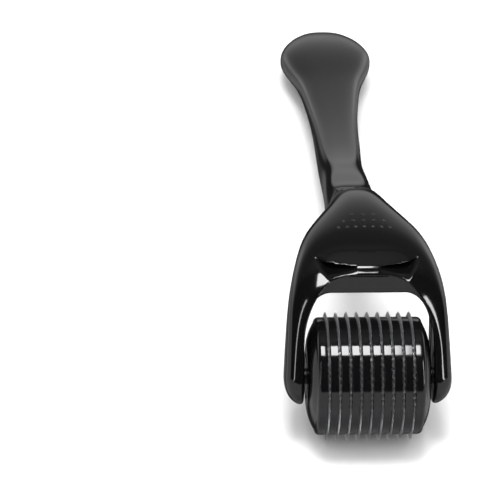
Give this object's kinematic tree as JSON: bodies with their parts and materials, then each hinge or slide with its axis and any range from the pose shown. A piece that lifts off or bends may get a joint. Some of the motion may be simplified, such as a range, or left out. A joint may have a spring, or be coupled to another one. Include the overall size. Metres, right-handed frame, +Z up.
{
  "type": "derma roller",
  "caption": "Hand-held skin roller: a drum of steel needle discs turns freely in the fork of a curved two-shell handle with a flat, drooping tail.",
  "frame": {"origin": "middle of the bounding box at floor level, with the roller standing on its needle drum and the underside of its tail", "axes": "+X along the drum axle to the right seen from the drum end, +Y from the drum back to the tail, +Z up"},
  "size_m": [0.0318, 0.1428, 0.0328],
  "materials": {
    "handle_plastic": "polished black ABS",
    "drum_plastic": "moulded black plastic, slightly duller than the handle",
    "needle_steel": "bright etched stainless steel",
    "axle_steel": "drawn stainless steel"
  },
  "bodies": {
    "handle": {"upper_shell": "handle_plastic", "lower_shell": "handle_plastic", "axle_pin": "axle_steel"},
    "drum": {"core_sleeve": "drum_plastic", "left_end_cap": "drum_plastic", "right_end_cap": "drum_plastic", "needle_disc_1": "needle_steel", "needle_disc_2": "needle_steel", "needle_disc_3": "needle_steel", "needle_disc_4": "needle_steel", "needle_disc_5": "needle_steel", "needle_disc_6": "needle_steel", "needle_disc_7": "needle_steel", "needle_disc_8": "needle_steel", "needle_disc_9": "needle_steel", "spacer_ring_1": "drum_plastic", "spacer_ring_2": "drum_plastic", "spacer_ring_3": "drum_plastic", "spacer_ring_4": "drum_plastic", "spacer_ring_5": "drum_plastic", "spacer_ring_6": "drum_plastic", "spacer_ring_7": "drum_plastic", "spacer_ring_8": "drum_plastic"}
  },
  "joints": [
    {"name": "drum_spin", "type": "hinge", "parent": "handle", "child": "drum", "pos_m": [0, -0.05906, 0.0123], "axis": [1, 0, 0], "continuous": true}
  ]
}
